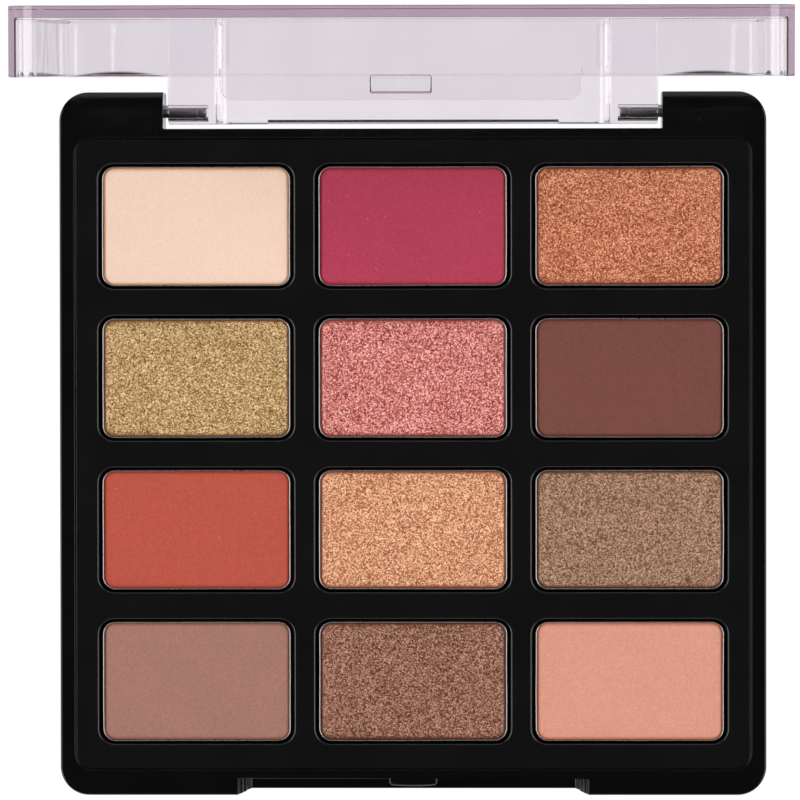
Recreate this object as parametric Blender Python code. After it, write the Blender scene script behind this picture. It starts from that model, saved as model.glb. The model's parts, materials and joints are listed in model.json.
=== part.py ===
"""Square eyeshadow compact: a black base with a tray of pressed powders in metal pans, and a clear hinged lid.

Run with Blender 4.5. Units are metres, +Z is up, -Y is the front (the thumb notch) and +Y is the hinge side.
The origin is the centre of the base's underside. Every overall size follows from the pans and what holds them.
The lid is modelled closed and then turned open about its hinge by its parent empty.
"""

import math

import bmesh
import bpy
from mathutils import Matrix, Vector

# The pans, which everything else is sized around.
COLUMNS = 3
ROWS = 4
PAN_WIDTH = 0.0261
PAN_DEPTH = 0.0166
PAN_HEIGHT = 0.0036
PAN_CORNER = 0.00175
PAN_WALL = 0.00025
PAN_FLOOR = 0.0003
POWDER_BELOW_RIM = 0.0002
POWDER_EDGE = 0.00012
POWDER_GAP = 0.00004

# How each pan is held in its well.
GLUE_DIAMETER = 0.009
GLUE_THICKNESS = 0.0002
GLUE_GAP = 0.00005

# The tray insert.
WELL_GAP_SIDE = 0.00065
WELL_GAP_FRONT = 0.00052
WELL_EDGE = 0.00025
RIB_BETWEEN_COLUMNS = 0.00267
RIB_BETWEEN_ROWS = 0.00343
TRAY_SIDE_MARGIN = 0.00303
TRAY_FRONT_MARGIN = 0.0033
TRAY_CORNER = 0.0020
TRAY_SKIRT = 0.0010
DECK_THICKNESS = 0.0012
CUP_WALL = 0.0005
CUP_FLOOR = 0.0008
PAN_BELOW_DECK = 0.0004
DECK_BELOW_RIM = 0.0002
PEG_DIAMETER = 0.0025
PEG_GAP = 0.00005
BOSS_WALL = 0.0009
BOSS_BELOW_CUP = 0.0003

# The base case.
BASE_FLOOR = 0.0014
SPACE_UNDER_CUPS = 0.0015
SEAT_GAP = 0.00005
TRAY_GAP = 0.00035
SIDE_WALL = 0.00185
FRONT_WALL = 0.0033
RECESS_WALL = 0.00105
EAR_WIDTH = 0.0144
CASE_CORNER = 0.0040
CASE_TOP_EDGE = 0.00025
CASE_BOTTOM_EDGE = 0.0005

# The lid.
LID_HEIGHT = 0.0090
PANEL = 0.0015
SKIRT = 0.0009
LID_EDGE = 0.0003
PARTING_GAP = 0.0001

# The hinge.
HINGE_HEIGHT = 0.0032
HINGE_INSET = 0.0026
KNUCKLE_RADIUS = 0.0018
KNUCKLE_CLEARANCE = 0.0007
KNUCKLE_WIDTH = 0.0067
LOBE_SIDE_GAP = 0.0005
LOBE_INSET = 0.0001
LOBE_WALL = 0.0013
HEEL_RADIUS = 0.0010
PIN_DIAMETER = 0.00185
PIN_IN_KNUCKLE = 0.0053
PIN_IN_EAR = 0.0062
PIN_END_SPACE = 0.0003
PIN_CHAMFER = 0.00015
PIN_RUNNING_GAP = 0.00005
PIN_PRESS_GAP = 0.00002
OPEN_ANGLE = math.radians(88)

# The thumb notch, the snap nub and the lid's lip.
LIP_WIDTH = 0.0450
LIP_DROP = 0.0029
LIP_THICKNESS = 0.0010
LIP_INSET = 0.00005
LIP_CORNER = 0.0018
LIP_ABOVE_LEDGE = 0.0003
NOTCH_DEPTH = 0.0023
NOTCH_END_SLOPE = 0.0018
NOTCH_SIDE_GAP = 0.0001
LEDGE_SETBACK = 0.0007
NUB_WIDTH = 0.0068
NUB_REACH = 0.0011
NUB_HEIGHT = 0.0013
NUB_BELOW_RIM = 0.0005
NUB_CORNER = 0.0006
CATCH_SIDE_GAP = 0.00045
CATCH_HEIGHT = 0.0021
CATCH_DEPTH = 0.0004

# How finely round shapes are cut into flats.
CORNER_STEPS = 5
EDGE_STEPS = 2
ROUND_STEPS = 24

# A cutter reaches this far past what it cuts, and a joined shape this far into its neighbour.
PAST = 0.001

# Plan sizes that follow.
WELL_WIDTH = PAN_WIDTH + 2 * WELL_GAP_SIDE
WELL_DEPTH = PAN_DEPTH + 2 * WELL_GAP_FRONT
COLUMN_PITCH = WELL_WIDTH + RIB_BETWEEN_COLUMNS
ROW_PITCH = WELL_DEPTH + RIB_BETWEEN_ROWS
TRAY_WIDTH = COLUMNS * COLUMN_PITCH - RIB_BETWEEN_COLUMNS + 2 * TRAY_SIDE_MARGIN
TRAY_DEPTH = ROWS * ROW_PITCH - RIB_BETWEEN_ROWS + 2 * TRAY_FRONT_MARGIN
RECESS_DEPTH = HINGE_INSET + KNUCKLE_RADIUS + KNUCKLE_CLEARANCE
CASE_WIDTH = TRAY_WIDTH + 2 * (TRAY_GAP + SIDE_WALL)
CASE_DEPTH = TRAY_DEPTH + 2 * TRAY_GAP + FRONT_WALL + RECESS_WALL + RECESS_DEPTH
FRONT = -CASE_DEPTH / 2
BACK = CASE_DEPTH / 2
TRAY_Y = FRONT + FRONT_WALL + TRAY_GAP + TRAY_DEPTH / 2
HINGE_Y = BACK - HINGE_INSET
LOBE_HALF = CASE_WIDTH / 2 - EAR_WIDTH - LOBE_SIDE_GAP

# Heights that follow.
CUP_BOTTOM = BASE_FLOOR + SPACE_UNDER_CUPS
WELL_FLOOR = CUP_BOTTOM + CUP_FLOOR
PAN_BOTTOM = WELL_FLOOR + GLUE_THICKNESS + 2 * GLUE_GAP
PAN_TOP = PAN_BOTTOM + PAN_HEIGHT
DECK_TOP = PAN_TOP + PAN_BELOW_DECK
CASE_HEIGHT = DECK_TOP + DECK_BELOW_RIM
LID_BOTTOM = CASE_HEIGHT + PARTING_GAP
LID_TOP = CASE_HEIGHT + LID_HEIGHT
PANEL_UNDERSIDE = LID_TOP - PANEL
LEDGE_TOP = CASE_HEIGHT - LIP_DROP - LIP_ABOVE_LEDGE

# Colours (linear RGB) of the powders, from the hinge row to the front row.
POWDER_COLOURS = (
    ((0.93, 0.63, 0.50), (0.44, 0.05, 0.10), (0.51, 0.19, 0.10)),
    ((0.47, 0.30, 0.14), (0.60, 0.20, 0.18), (0.20, 0.07, 0.06)),
    ((0.51, 0.10, 0.07), (0.64, 0.31, 0.17), (0.33, 0.19, 0.11)),
    ((0.38, 0.19, 0.15), (0.29, 0.13, 0.09), (0.72, 0.33, 0.24)),
)


def clear_scene():
    for item in list(bpy.data.objects):
        bpy.data.objects.remove(item, do_unlink=True)


def new_collection(name, hidden=False):
    made = bpy.data.collections.new(name)
    bpy.context.scene.collection.children.link(made)
    made.hide_render = hidden
    return made


def plastic_or_metal(name, colour, roughness, metallic=0.0, transmission=0.0):
    made = bpy.data.materials.new(name)
    made.use_nodes = True
    shader = made.node_tree.nodes["Principled BSDF"]
    shader.inputs["Base Color"].default_value = (*colour, 1.0)
    shader.inputs["Roughness"].default_value = roughness
    shader.inputs["Metallic"].default_value = metallic
    shader.inputs["Transmission Weight"].default_value = transmission
    return made


def object_from(bm, name, collection, material=None):
    bmesh.ops.recalc_face_normals(bm, faces=bm.faces)
    mesh = bpy.data.meshes.new(name)
    bm.to_mesh(mesh)
    bm.free()
    made = bpy.data.objects.new(name, mesh)
    collection.objects.link(made)
    if material:
        mesh.materials.append(material)
    return made


def cutter_from(bm, name, collection):
    made = object_from(bm, name, collection)
    made.hide_render = True
    made.display_type = "WIRE"
    return made


def shade_round(item, angle=math.radians(35)):
    item.data.shade_smooth()
    item.data.set_sharp_from_angle(angle=angle)


def box(low, high):
    """A plain box between two corners."""
    low, high = Vector(low), Vector(high)
    bm = bmesh.new()
    bmesh.ops.create_cube(bm, size=1.0)
    bmesh.ops.scale(bm, vec=high - low, verts=bm.verts)
    bmesh.ops.translate(bm, vec=(low + high) / 2, verts=bm.verts)
    return bm


def edges_at(bm, height):
    """The edges that lie flat at this height."""
    return [e for e in bm.edges if all(abs(v.co.z - height) < 1e-7 for v in e.verts)]


def bevel(bm, edges, radius, steps):
    bmesh.ops.bevel(bm, geom=edges, offset=radius, segments=steps, profile=0.5, affect="EDGES")


def rounded_box(size, bottom, top, corner, centre=(0.0, 0.0), top_edge=0.0, bottom_edge=0.0, steps=CORNER_STEPS):
    """A box with round upright corners and, where asked, rounded top and bottom edges."""
    (width, depth), (x, y) = size, centre
    bm = box((x - width / 2, y - depth / 2, bottom), (x + width / 2, y + depth / 2, top))
    upright = [e for e in bm.edges if abs(e.verts[0].co.z - e.verts[1].co.z) > 1e-7]
    bevel(bm, upright, corner, steps)
    if top_edge:
        bevel(bm, edges_at(bm, top), top_edge, EDGE_STEPS)
    if bottom_edge:
        bevel(bm, edges_at(bm, bottom), bottom_edge, EDGE_STEPS)
    return bm


def flare_mouth(bm, size, corner, centre, top, width):
    """Opens a cutter's top outwards by width over the same height, which leaves a chamfer round the hole it cuts."""
    rim = [v for v in bm.verts if abs(v.co.z - top) < 1e-7]
    lid = [f for f in bm.faces if all(v in rim for v in f.verts)]
    upper = bmesh.ops.extrude_face_region(bm, geom=lid)["geom"]
    bmesh.ops.delete(bm, geom=lid, context="FACES_ONLY")
    straight = Vector((size[0] / 2 - corner, size[1] / 2 - corner))
    for vert in (v for v in upper if isinstance(v, bmesh.types.BMVert)):
        from_centre = vert.co.xy - Vector(centre)
        corner_centre = Vector([max(-s, min(s, c)) for s, c in zip(straight, from_centre)])
        outwards = (from_centre - corner_centre).normalized()
        vert.co.xy += outwards * width
        vert.co.z += width


def prism_along_x(outline, low, high):
    """A (y, z) outline stretched along X from low to high."""
    bm = bmesh.new()
    face = bm.faces.new([bm.verts.new((low, y, z)) for y, z in outline])
    grown = bmesh.ops.extrude_face_region(bm, geom=[face])["geom"]
    moved = [v for v in grown if isinstance(v, bmesh.types.BMVert)]
    bmesh.ops.translate(bm, vec=(high - low, 0, 0), verts=moved)
    return bm


def arc(centre, radius, start, end, steps):
    """Points of a (y, z) arc, with both ends, at angles in degrees from +Y towards +Z."""
    angles = [math.radians(start + (end - start) * i / steps) for i in range(steps + 1)]
    return [(centre[0] + radius * math.cos(a), centre[1] + radius * math.sin(a)) for a in angles]


def rod(radius, length, start, direction, chamfer=0.0, steps=ROUND_STEPS):
    """A cylinder that begins at start and runs along direction."""
    bm = bmesh.new()
    bmesh.ops.create_cone(
        bm, cap_ends=True, segments=steps, radius1=radius, radius2=radius, depth=length
    )
    bmesh.ops.translate(bm, vec=(0, 0, length / 2), verts=bm.verts)
    if chamfer:
        bevel(bm, edges_at(bm, 0.0) + edges_at(bm, length), chamfer, 1)
    turn = Vector(direction).to_track_quat("Z", "Y").to_matrix().to_4x4()
    bmesh.ops.transform(bm, matrix=Matrix.Translation(start) @ turn, verts=bm.verts)
    return bm


def combine(item, operation, others):
    """Adds one exact Boolean for each of the other objects."""
    for other in others:
        modifier = item.modifiers.new(f"{operation.lower()}_{other.name}", "BOOLEAN")
        modifier.operation = operation
        modifier.solver = "EXACT"
        modifier.object = other


def well_centres():
    """(row, column, (x, y)) of each well, with row 1 at the hinge and column 1 on the left."""
    for row in range(ROWS):
        for column in range(COLUMNS):
            x = (column - (COLUMNS - 1) / 2) * COLUMN_PITCH
            y = TRAY_Y + ((ROWS - 1) / 2 - row) * ROW_PITCH
            yield row + 1, column + 1, (x, y)


def peg_centres():
    """The wells at the four corners carry the tray's pegs."""
    return [centre for row, column, centre in well_centres() if row in (1, ROWS) and column in (1, COLUMNS)]


def make_base_case(parts, cutters, material):
    size = (CASE_WIDTH, CASE_DEPTH)
    case = object_from(
        rounded_box(
            size,
            0.0,
            CASE_HEIGHT,
            CASE_CORNER,
            top_edge=CASE_TOP_EDGE,
            bottom_edge=CASE_BOTTOM_EDGE,
            steps=CORNER_STEPS + 1,
        ),
        "base_case",
        parts,
        material,
    )

    pocket = rounded_box(
        (TRAY_WIDTH + 2 * TRAY_GAP, TRAY_DEPTH + 2 * TRAY_GAP),
        BASE_FLOOR,
        CASE_HEIGHT + PAST,
        TRAY_CORNER + TRAY_GAP,
        centre=(0.0, TRAY_Y),
    )
    recess_half = CASE_WIDTH / 2 - EAR_WIDTH
    recess = box((-recess_half, BACK - RECESS_DEPTH, -PAST), (recess_half, BACK + PAST, CASE_HEIGHT + PAST))
    combine(
        case,
        "DIFFERENCE",
        [
            cutter_from(pocket, "cut_tray_pocket", cutters),
            cutter_from(recess, "cut_hinge_recess", cutters),
            cutter_from(ear_relief(), "cut_ear_relief", cutters),
            cutter_from(thumb_notch(), "cut_thumb_notch", cutters),
            cutter_from(finger_setback(), "cut_finger_setback", cutters),
        ],
    )

    bosses = []
    sockets = []
    boss_radius = PEG_DIAMETER / 2 + PEG_GAP + BOSS_WALL
    boss_height = SPACE_UNDER_CUPS - BOSS_BELOW_CUP
    for index, (x, y) in enumerate(peg_centres(), start=1):
        boss = rod(boss_radius, boss_height + PAST / 2, (x, y, BASE_FLOOR - PAST / 2), (0, 0, 1))
        bosses.append(cutter_from(boss, f"boss_{index}", cutters))
        socket = rod(PEG_DIAMETER / 2 + PEG_GAP, boss_height + PAST, (x, y, BASE_FLOOR), (0, 0, 1))
        sockets.append(cutter_from(socket, f"cut_socket_{index}", cutters))
    combine(case, "UNION", bosses)
    combine(case, "DIFFERENCE", sockets)

    combine(case, "UNION", [cutter_from(snap_nub(), "snap_nub", cutters)])
    for side, name in ((-1, "left"), (1, "right")):
        start = (side * (recess_half - PAST), HINGE_Y, HINGE_HEIGHT)
        length = PIN_IN_EAR + PIN_END_SPACE + PAST
        bore = rod(PIN_DIAMETER / 2 + PIN_PRESS_GAP, length, start, (side, 0, 0))
        combine(case, "DIFFERENCE", [cutter_from(bore, f"cut_ear_bore_{name}", cutters)])
    return case


def ear_relief():
    """Rounds the ears' back top edge about the hinge, so that the lid's skirt clears them as it swings."""
    reach = CASE_HEIGHT - HINGE_HEIGHT
    ear_end = math.degrees(math.acos((HINGE_INSET + PAST / 2) / reach))
    points = [(-PAST / 2, reach + PARTING_GAP)]
    points += arc((0.0, 0.0), reach, 80, ear_end, 4)
    points += [(HINGE_INSET + PAST, points[-1][1]), (HINGE_INSET + PAST, reach + PAST), (-PAST / 2, reach + PAST)]
    outline = [(HINGE_Y + y, HINGE_HEIGHT + z) for y, z in points]
    return prism_along_x(outline, -CASE_WIDTH / 2 - PAST, CASE_WIDTH / 2 + PAST)


def thumb_notch():
    """The step in the front rim that takes the lid's lip, with sloping ends."""
    half_bottom = LIP_WIDTH / 2 + NOTCH_SIDE_GAP
    slope = NOTCH_END_SLOPE / (CASE_HEIGHT - LEDGE_TOP)
    bm = box((-half_bottom, FRONT - PAST, LEDGE_TOP), (half_bottom, FRONT + NOTCH_DEPTH, CASE_HEIGHT + PAST))
    for vert in bm.verts:
        if vert.co.z > CASE_HEIGHT:
            vert.co.x += math.copysign(slope * (vert.co.z - LEDGE_TOP), vert.co.x)
    return bm


def finger_setback():
    """Below the ledge the front stands back, so that a fingernail reaches under the lip."""
    half = LIP_WIDTH / 2 + NOTCH_SIDE_GAP
    top = LEDGE_TOP + PAST / 2
    return box((-half, FRONT - PAST, -PAST), (half, FRONT + LEDGE_SETBACK, top))


def snap_nub():
    """The bump on the notch's wall that the lip snaps over."""
    wall = FRONT + NOTCH_DEPTH
    top = CASE_HEIGHT - NUB_BELOW_RIM
    depth = 2 * NUB_REACH
    return rounded_box(
        (NUB_WIDTH, depth),
        top - NUB_HEIGHT,
        top,
        NUB_CORNER,
        centre=(0.0, wall),
        top_edge=NUB_CORNER / 2,
        bottom_edge=NUB_CORNER / 2,
        steps=3,
    )


def make_tray_insert(parts, cutters, material):
    bottom = BASE_FLOOR + SEAT_GAP
    centre = (0.0, TRAY_Y)
    tray = object_from(
        rounded_box((TRAY_WIDTH, TRAY_DEPTH), bottom, DECK_TOP, TRAY_CORNER, centre, top_edge=WELL_EDGE / 2),
        "tray_insert",
        parts,
        material,
    )
    hollow = rounded_box(
        (TRAY_WIDTH - 2 * TRAY_SKIRT, TRAY_DEPTH - 2 * TRAY_SKIRT),
        bottom - PAST,
        DECK_TOP - DECK_THICKNESS,
        TRAY_CORNER - TRAY_SKIRT,
        centre,
        steps=2,
    )
    combine(tray, "DIFFERENCE", [cutter_from(hollow, "cut_tray_hollow", cutters)])

    cups = []
    wells = []
    corner = PAN_CORNER + WELL_GAP_FRONT
    cup_size = (WELL_WIDTH + 2 * CUP_WALL, WELL_DEPTH + 2 * CUP_WALL)
    for row, column, place in well_centres():
        cup = rounded_box(
            cup_size, CUP_BOTTOM, DECK_TOP - DECK_THICKNESS / 2, corner + CUP_WALL, place, steps=3
        )
        cups.append(cutter_from(cup, f"cup_r{row}c{column}", cutters))
        size = (WELL_WIDTH, WELL_DEPTH)
        well = rounded_box(size, WELL_FLOOR, DECK_TOP - WELL_EDGE, corner, place)
        flare_mouth(well, size, corner, place, DECK_TOP - WELL_EDGE, WELL_EDGE)
        flare_mouth(
            well,
            (size[0] + 2 * WELL_EDGE, size[1] + 2 * WELL_EDGE),
            corner + WELL_EDGE,
            place,
            DECK_TOP,
            WELL_EDGE,
        )
        wells.append(cutter_from(well, f"cut_well_r{row}c{column}", cutters))
    combine(tray, "UNION", cups)
    combine(tray, "DIFFERENCE", wells)

    pegs = []
    peg_bottom = BASE_FLOOR + SEAT_GAP
    for index, (x, y) in enumerate(peg_centres(), start=1):
        length = CUP_BOTTOM - peg_bottom + CUP_FLOOR / 2
        peg = rod(PEG_DIAMETER / 2, length, (x, y, peg_bottom), (0, 0, 1), steps=16)
        pegs.append(cutter_from(peg, f"peg_{index}", cutters))
    combine(tray, "UNION", pegs)
    return tray


def make_pan(name, place, parts, cutters, material):
    pan = object_from(
        rounded_box((PAN_WIDTH, PAN_DEPTH), PAN_BOTTOM, PAN_TOP, PAN_CORNER, place), name, parts, material
    )
    inside = rounded_box(
        (PAN_WIDTH - 2 * PAN_WALL, PAN_DEPTH - 2 * PAN_WALL),
        PAN_BOTTOM + PAN_FLOOR,
        PAN_TOP + PAST,
        PAN_CORNER - PAN_WALL,
        place,
    )
    combine(pan, "DIFFERENCE", [cutter_from(inside, f"cut_{name}", cutters)])
    shade_round(pan)
    return pan


def make_powder(name, place, parts, material):
    inset = 2 * (PAN_WALL + POWDER_GAP)
    cake = rounded_box(
        (PAN_WIDTH - inset, PAN_DEPTH - inset),
        PAN_BOTTOM + PAN_FLOOR + POWDER_GAP,
        PAN_TOP - POWDER_BELOW_RIM,
        PAN_CORNER - inset / 2,
        place,
        top_edge=POWDER_EDGE,
    )
    powder = object_from(cake, name, parts, material)
    shade_round(powder)
    return powder


def make_glue(name, place, parts, material):
    start = (*place, WELL_FLOOR + GLUE_GAP)
    glue = object_from(rod(GLUE_DIAMETER / 2, GLUE_THICKNESS, start, (0, 0, 1), steps=16), name, parts, material)
    shade_round(glue)
    return glue


def knuckle_outline(top, front):
    """The hinge lobe's section as (y, z) from the hinge axis: flat back, round heel, and a front face at y = front."""
    back = HINGE_INSET - LOBE_INSET
    heel = arc((back - HEEL_RADIUS, HEEL_RADIUS - KNUCKLE_RADIUS), HEEL_RADIUS, 0, -90, 4)
    return [(back, top), *heel, *front, (front[-1][0], top)]


def make_lid(parts, cutters, material, pivot):
    """The lid, closed, in coordinates from the hinge axis, so that its origin lies on the axis."""
    depth = CASE_DEPTH
    middle = (0.0, -HINGE_Y)
    bottom = LID_BOTTOM - HINGE_HEIGHT
    top = LID_TOP - HINGE_HEIGHT
    underside = PANEL_UNDERSIDE - HINGE_HEIGHT
    lid = object_from(
        rounded_box(
            (CASE_WIDTH, depth), bottom, top, CASE_CORNER, middle, top_edge=LID_EDGE, steps=CORNER_STEPS + 1
        ),
        "lid",
        parts,
        material,
    )
    hollow = rounded_box(
        (CASE_WIDTH - 2 * SKIRT, depth - 2 * SKIRT),
        bottom - PAST,
        underside,
        CASE_CORNER - SKIRT,
        middle,
        top_edge=LID_EDGE,
        steps=CORNER_STEPS + 1,
    )
    joined = [cutter_from(front_lip(bottom), "lid_lip", cutters)]
    wall_front = HINGE_INSET - LOBE_INSET - LOBE_WALL
    wall = knuckle_outline(bottom + PAST, [(wall_front, -KNUCKLE_RADIUS)])
    inner = LOBE_HALF - KNUCKLE_WIDTH
    joined.append(cutter_from(prism_along_x(wall, -inner - PAST, inner + PAST), "lid_lobe_wall", cutters))
    rounded_front = arc((0.0, 0.0), KNUCKLE_RADIUS, -90, -180, 5)
    knuckle = knuckle_outline(underside + PANEL / 2, rounded_front)
    bores = []
    for side, name in ((-1, "left"), (1, "right")):
        low, high = sorted((side * inner, side * LOBE_HALF))
        joined.append(cutter_from(prism_along_x(knuckle, low, high), f"lid_knuckle_{name}", cutters))
        start = (side * (LOBE_HALF + PAST), 0.0, 0.0)
        length = PIN_IN_KNUCKLE + PIN_END_SPACE + PAST
        bore = rod(PIN_DIAMETER / 2 + PIN_RUNNING_GAP, length, start, (-side, 0, 0))
        bores.append(cutter_from(bore, f"cut_lid_bore_{name}", cutters))
    combine(lid, "DIFFERENCE", [cutter_from(hollow, "cut_lid_hollow", cutters)])
    combine(lid, "UNION", joined)
    combine(lid, "DIFFERENCE", [*bores, cutter_from(catch_pocket(bottom), "cut_catch", cutters)])
    for item in [lid, *joined, *bores, bpy.data.objects["cut_lid_hollow"], bpy.data.objects["cut_catch"]]:
        item.parent = pivot
    return lid


def front_lip(bottom):
    """The tongue under the lid's front skirt, with round lower corners."""
    front = FRONT + LIP_INSET - HINGE_Y
    half = LIP_WIDTH / 2
    low = bottom - LIP_DROP
    bm = box((-half, front, low), (half, front + LIP_THICKNESS, bottom + PAST))
    lower = [
        e
        for e in bm.edges
        if all(abs(v.co.z - low) < 1e-7 for v in e.verts) and abs(e.verts[0].co.x - e.verts[1].co.x) < 1e-7
    ]
    bevel(bm, lower, LIP_CORNER, 4)
    return bm


def catch_pocket(bottom):
    """The shallow pocket in the lip's inner face that the snap nub stands in."""
    inner_face = FRONT + LIP_INSET + LIP_THICKNESS - HINGE_Y
    half = NUB_WIDTH / 2 + CATCH_SIDE_GAP
    low = (-half, inner_face - CATCH_DEPTH, bottom - CATCH_HEIGHT)
    return box(low, (half, inner_face + PAST, bottom - PARTING_GAP))


def make_hinge_pin(name, side, parts, material):
    recess_half = CASE_WIDTH / 2 - EAR_WIDTH
    inner_end = LOBE_HALF - PIN_IN_KNUCKLE
    length = recess_half + PIN_IN_EAR - inner_end
    start = (side * inner_end, HINGE_Y, HINGE_HEIGHT)
    pin = object_from(
        rod(PIN_DIAMETER / 2, length, start, (side, 0, 0), chamfer=PIN_CHAMFER), name, parts, material
    )
    shade_round(pin)
    return pin


def main():
    clear_scene()
    parts = new_collection("eyeshadow_palette")
    cutters = new_collection("cutters", hidden=True)

    case_black = plastic_or_metal("case_black", (0.008, 0.008, 0.009), 0.35)
    tray_black = plastic_or_metal("tray_black", (0.008, 0.008, 0.008), 0.45)
    pan_metal = plastic_or_metal("pan_metal", (0.72, 0.71, 0.69), 0.3, metallic=1.0)
    pin_steel = plastic_or_metal("pin_steel", (0.55, 0.55, 0.56), 0.25, metallic=1.0)
    glue_clear = plastic_or_metal("glue_clear", (0.85, 0.8, 0.68), 0.5)
    lid_clear = plastic_or_metal("lid_clear", (0.80, 0.72, 0.79), 0.05, transmission=1.0)

    make_base_case(parts, cutters, case_black)
    make_tray_insert(parts, cutters, tray_black)
    for row, column, place in well_centres():
        spot = f"r{row}c{column}"
        make_pan(f"pan_{spot}", place, parts, cutters, pan_metal)
        colour = POWDER_COLOURS[(row - 1) % len(POWDER_COLOURS)][(column - 1) % len(POWDER_COLOURS[0])]
        make_powder(f"powder_{spot}", place, parts, plastic_or_metal(f"powder_{spot}", colour, 0.8))
        make_glue(f"pan_glue_{spot}", place, parts, glue_clear)

    make_hinge_pin("hinge_pin_left", -1, parts, pin_steel)
    make_hinge_pin("hinge_pin_right", 1, parts, pin_steel)
    pivot = bpy.data.objects.new("lid_pivot", None)
    parts.objects.link(pivot)
    pivot.location = (0.0, HINGE_Y, HINGE_HEIGHT)
    make_lid(parts, cutters, lid_clear, pivot)
    pivot.rotation_euler.x = -OPEN_ANGLE


main()
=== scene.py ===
import json
import math

import bmesh
import bpy
import numpy as np
from mathutils import Matrix, Vector


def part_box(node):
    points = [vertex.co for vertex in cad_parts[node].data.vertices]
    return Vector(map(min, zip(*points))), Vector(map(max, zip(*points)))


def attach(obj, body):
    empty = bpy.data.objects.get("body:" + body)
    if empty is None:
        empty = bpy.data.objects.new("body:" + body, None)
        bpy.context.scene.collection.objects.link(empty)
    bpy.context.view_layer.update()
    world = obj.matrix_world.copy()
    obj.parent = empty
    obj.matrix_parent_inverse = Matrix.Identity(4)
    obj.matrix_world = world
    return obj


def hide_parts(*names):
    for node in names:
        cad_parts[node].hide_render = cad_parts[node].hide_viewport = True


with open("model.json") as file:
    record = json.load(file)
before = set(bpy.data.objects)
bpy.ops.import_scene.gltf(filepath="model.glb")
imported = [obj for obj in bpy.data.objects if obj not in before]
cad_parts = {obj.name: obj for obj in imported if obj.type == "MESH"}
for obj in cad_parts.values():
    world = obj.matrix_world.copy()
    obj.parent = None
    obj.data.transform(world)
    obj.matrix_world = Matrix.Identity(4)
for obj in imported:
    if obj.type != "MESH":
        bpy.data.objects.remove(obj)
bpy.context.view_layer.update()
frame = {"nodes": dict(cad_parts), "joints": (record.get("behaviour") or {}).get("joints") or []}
mm = 0.001

joint = frame["joints"][0]
hinge = Vector(joint["pos_m"])
openAngle = math.radians(-joint["range_deg"][0])  # the lid stands this far open at rest
openLid = Matrix.Translation(hinge) @ Matrix.Rotation(-openAngle, 4, "X") @ Matrix.Translation(-hinge)

caseLow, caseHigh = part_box("base_case")
trayLow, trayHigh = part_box("tray_insert")
caseWidth, caseDepth = (caseHigh - caseLow).xy
frontY, backY = caseLow.y, caseHigh.y
print("frame loaded:", len(frame["nodes"]), "parts")


def linear(shade):
    return tuple(c / 12.92 if c < 0.0405 else ((c + 0.055) / 1.055) ** 2.4 for c in shade)


def roundedLoop(halfWidth, halfDepth, corner, steps, sideSteps=1):
    points = []
    straightX, straightY = halfWidth - corner, halfDepth - corner
    for index, (sideX, sideY) in enumerate(((1, 1), (-1, 1), (-1, -1), (1, -1))):
        for step in range(steps + 1):
            angle = math.radians(90 * (index + step / steps))
            x = sideX * straightX + corner * math.cos(angle)
            y = sideY * straightY + corner * math.sin(angle)
            points.append(Vector((x, y)))
        following = ((-1, 1), (-1, -1), (1, -1), (1, 1))[index]
        angle = math.radians(90 * (index + 1))
        start = points[-1]
        end = Vector((following[0] * straightX, following[1] * straightY))
        end += corner * Vector((math.cos(angle), math.sin(angle)))
        points += [start.lerp(end, k / sideSteps) for k in range(1, sideSteps)]
    return points


def quarter(centreOut, centreUp, radius, start, end, steps=6):
    angles = [math.radians(start + (end - start) * k / steps) for k in range(steps + 1)]
    return [(centreOut + radius * math.cos(a), centreUp + radius * math.sin(a)) for a in angles]


def closeRings(bm, rings):
    for lower, upper in zip(rings, rings[1:]):
        for k in range(len(lower)):
            after = (k + 1) % len(lower)
            bm.faces.new((lower[k], lower[after], upper[after], upper[k]))
    bm.faces.new(rings[0][::-1])
    bm.faces.new(rings[-1])


def sweepRings(bm, size, corner, profile, place=(0.0, 0.0), steps=8, sideSteps=1):
    # rings of one rounded outline, each grown by profile[k][0] and set at height profile[k][1]
    rings = []
    for grow, height in profile:
        halfWidth, halfDepth = size[0] / 2 + grow, size[1] / 2 + grow
        loop = roundedLoop(halfWidth, halfDepth, max(corner + grow, 0.02 * mm), steps, sideSteps)
        rings.append([bm.verts.new((p.x + place[0], p.y + place[1], height)) for p in loop])
    closeRings(bm, rings)
    return rings


def pushOutline(bm, points, travel):
    # a solid left by a flat outline that is pushed along travel
    face = bm.faces.new([bm.verts.new(point) for point in points])
    grown = bmesh.ops.extrude_face_region(bm, geom=[face])["geom"]
    moved = [v for v in grown if isinstance(v, bmesh.types.BMVert)]
    bmesh.ops.translate(bm, vec=travel, verts=moved)
    bmesh.ops.recalc_face_normals(bm, faces=bm.faces)


def prismAlongX(bm, outline, low, high, softEnds=0.0):
    # a (y, z) outline stretched along X
    pushOutline(bm, [(low, y, z) for y, z in outline], (high - low, 0, 0))
    if softEnds:
        ends = [e for e in bm.edges if all(abs(v.co.x - low) < 1e-8 for v in e.verts)]
        ends += [e for e in bm.edges if all(abs(v.co.x - high) < 1e-8 for v in e.verts)]
        bmesh.ops.bevel(bm, geom=ends, offset=softEnds, segments=3, profile=0.5, affect="EDGES")


def plainBox(bm, low, high):
    low, high = Vector(low), Vector(high)
    made = bmesh.ops.create_cube(bm, size=1.0)["verts"]
    bmesh.ops.scale(bm, vec=high - low, verts=made)
    bmesh.ops.translate(bm, vec=(low + high) / 2, verts=made)


def turnedAlongX(bm, profile, start, side, steps=48):
    # rings of (distance along, radius) about a line through start that runs towards side
    rings = []
    for along, radius in profile:
        ring = []
        for k in range(steps):
            angle = 2 * math.pi * k / steps
            offset = Vector((side * along, radius * math.cos(angle), radius * math.sin(angle)))
            ring.append(bm.verts.new(Vector(start) + offset))
        rings.append(ring)
    closeRings(bm, rings)


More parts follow.
